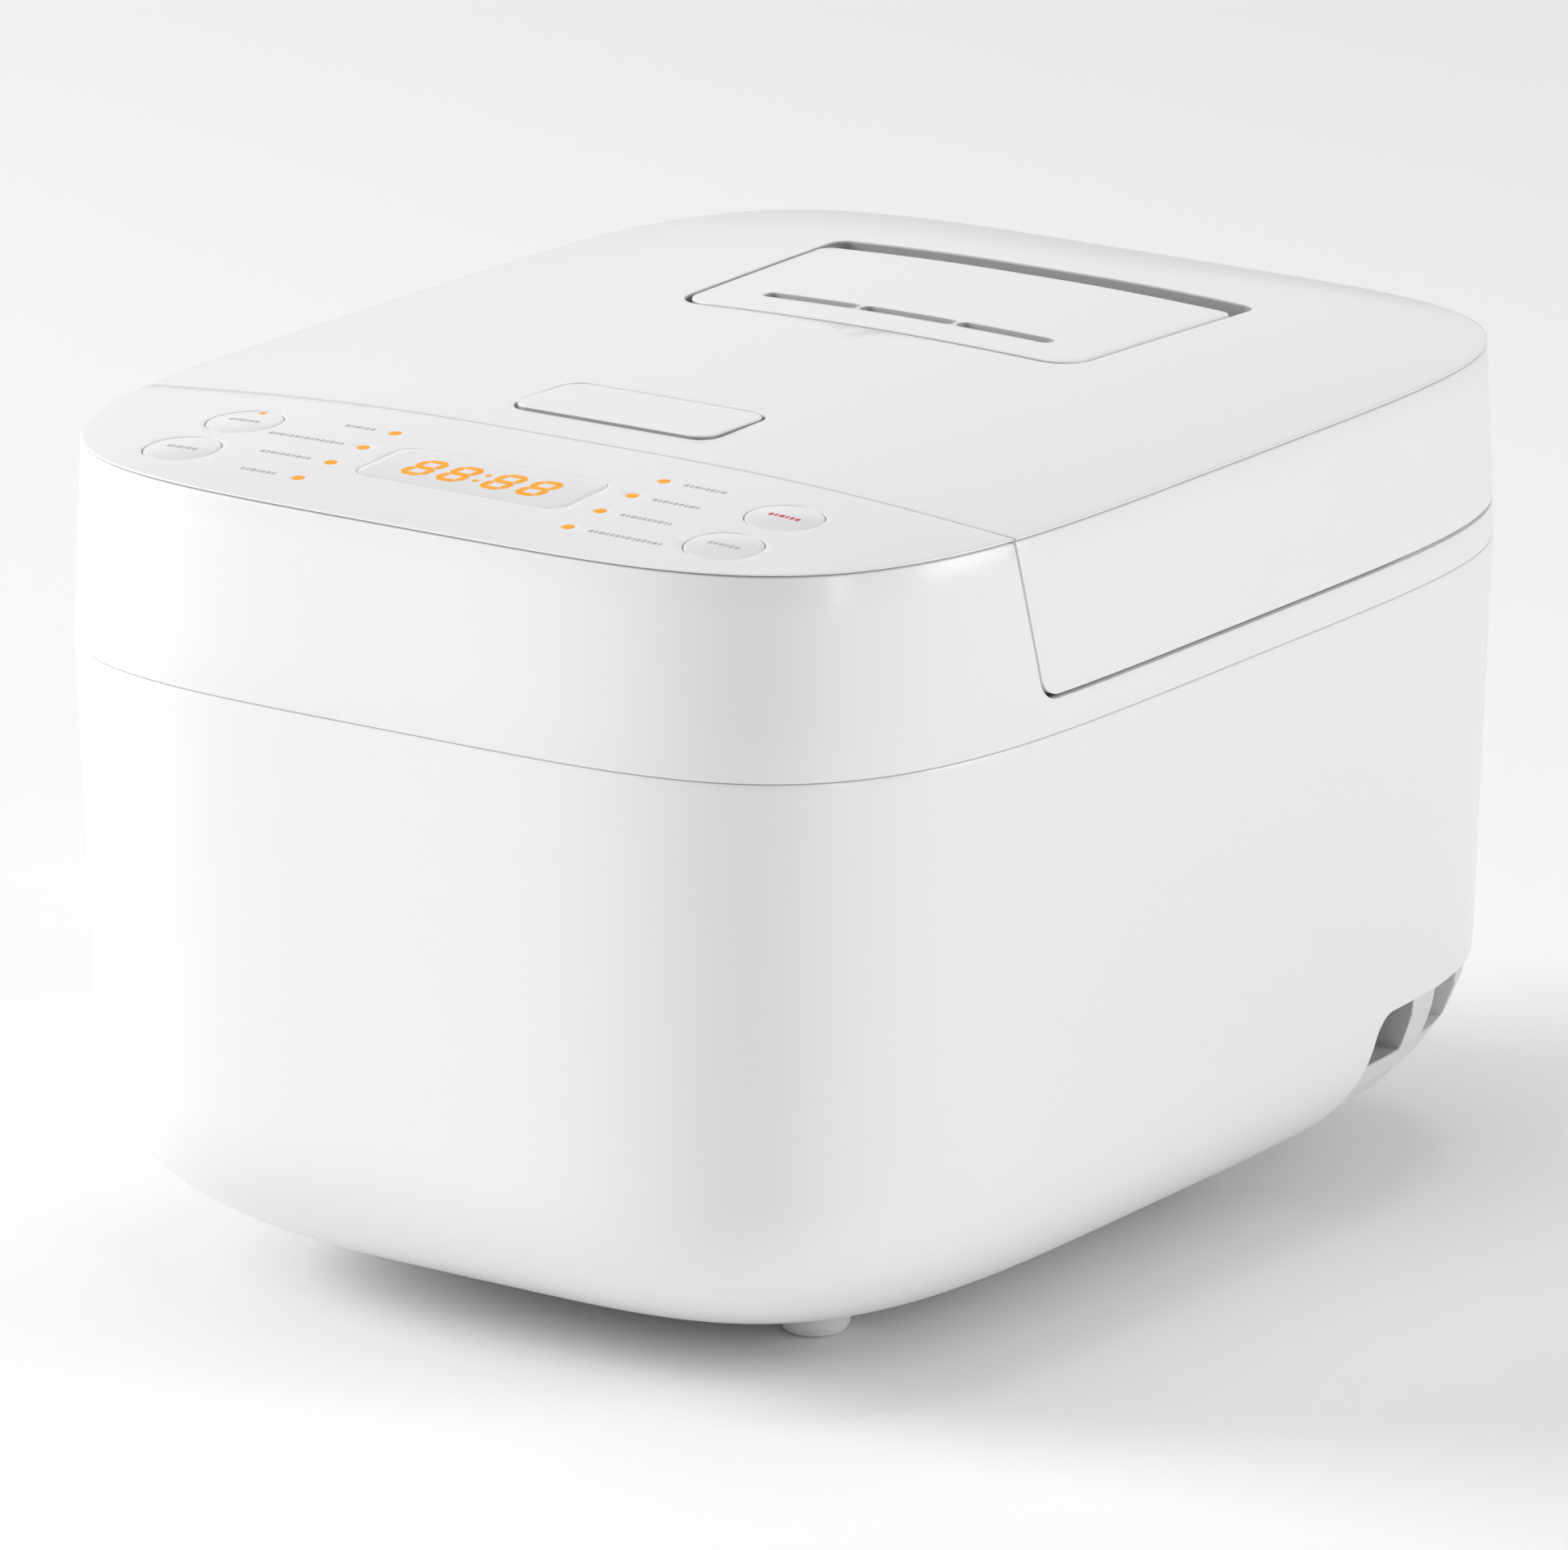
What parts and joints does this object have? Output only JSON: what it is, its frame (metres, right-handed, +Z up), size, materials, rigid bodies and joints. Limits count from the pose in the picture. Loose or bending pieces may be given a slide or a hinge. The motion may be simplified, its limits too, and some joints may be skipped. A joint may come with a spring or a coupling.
{
  "type": "rice cooker",
  "caption": "Rounded box rice cooker with a hinged crowned lid, a lift-off steam vent, a release button, and a front control panel with a display and round keys over a removable pot.",
  "frame": {"origin": "middle of the footprint on the ground plane under the feet", "axes": "+Z up, -Y towards the user at the control panel, +X to the right as the user sees it"},
  "size_m": [0.241, 0.3026, 0.198],
  "materials": {
    "shell_white": "satin gloss",
    "top_white": "satin gloss",
    "base_grey": "matt",
    "foot_white": "matt",
    "socket_dark": "matt",
    "deck_grey": "fine matt",
    "pot_black": "non-stick",
    "plate_metal": "cast",
    "steel": "brushed",
    "silicone": "soft",
    "contact_brass": "bright",
    "board_green": "solder mask",
    "component_black": "moulded",
    "lamp_amber": "clear",
    "window_white": "polished",
    "key_white": "satin gloss"
  },
  "bodies": {
    "housing": {"outer_shell": "shell_white", "base_plate": "base_grey", "foot_front_left": "foot_white", "foot_front_right": "foot_white", "foot_rear_left": "foot_white", "foot_rear_right": "foot_white", "base_screws": "steel", "inlet_housing": "base_grey", "inlet_pins": "contact_brass", "inner_pot": "pot_black", "pot_housing": "steel", "heating_plate": "plate_metal", "plate_spacers": "steel", "sensor_spring": "steel", "sensor_seat": "deck_grey", "housing_posts": "steel", "sensor_posts": "steel", "board_carrier": "deck_grey", "power_board": "board_green", "power_components": "component_black", "upper_housing": "shell_white", "pot_deck": "deck_grey", "hinge_pin": "steel", "hinge_spring": "steel", "fascia": "top_white", "display_window": "window_white", "display_module": "component_black", "lamp_lenses": "lamp_amber", "lamp_chips": "lamp_amber", "key_switches": "component_black", "control_board": "board_green", "board_tray": "deck_grey", "board_screws": "steel"},
    "lid": {"lid_skirt": "shell_white", "lid_top": "top_white", "lid_liner": "deck_grey", "inner_lid": "plate_metal", "lid_gasket": "silicone", "latch_bridge": "deck_grey", "release_spring": "steel"},
    "vent": {"vent_cover": "top_white", "vent_cup": "deck_grey", "vent_seal": "silicone"},
    "release": {"release_button": "top_white"},
    "latch": {"latch_slider": "socket_dark"},
    "menu": {"menu_key": "key_white"},
    "timer": {"timer_key": "key_white"},
    "start": {"start_key": "key_white"},
    "cancel": {"cancel_key": "key_white"},
    "sensor": {"sensor_cap": "plate_metal"}
  },
  "joints": [
    {"name": "lid_hinge", "type": "hinge", "parent": "housing", "child": "lid", "pos_m": [0, 0.139, 0.168], "axis": [-1, 0, 0], "range_deg": [0, 85]},
    {"name": "vent_lift", "type": "slide", "parent": "lid", "child": "vent", "axis": [0, 0, 1], "range_m": [0, 0.04]},
    {"name": "release_press", "type": "slide", "parent": "lid", "child": "release", "axis": [0, 0, -1], "range_m": [0, 0.003], "stiffness_N_per_m": 700, "deforming": ["release_spring"]},
    {"name": "latch_slide", "type": "slide", "parent": "lid", "child": "latch", "axis": [0, 1, 0], "range_m": [0, 0.0045]},
    {"name": "menu_press", "type": "slide", "parent": "housing", "child": "menu", "axis": [0, 0, -1], "range_m": [0, 0.0008], "stiffness_N_per_m": 900},
    {"name": "timer_press", "type": "slide", "parent": "housing", "child": "timer", "axis": [0, 0, -1], "range_m": [0, 0.0008], "stiffness_N_per_m": 900},
    {"name": "start_press", "type": "slide", "parent": "housing", "child": "start", "axis": [0, 0, -1], "range_m": [0, 0.0008], "stiffness_N_per_m": 900},
    {"name": "cancel_press", "type": "slide", "parent": "housing", "child": "cancel", "axis": [0, 0, -1], "range_m": [0, 0.0008], "stiffness_N_per_m": 900},
    {"name": "sensor_press", "type": "slide", "parent": "housing", "child": "sensor", "axis": [0, 0, -1], "range_m": [0, 0.003], "stiffness_N_per_m": 600, "deforming": ["sensor_spring"]}
  ],
  "couplings": [
    {"joint": "latch_slide", "follows": "release_press", "ratio": 1.5}
  ]
}
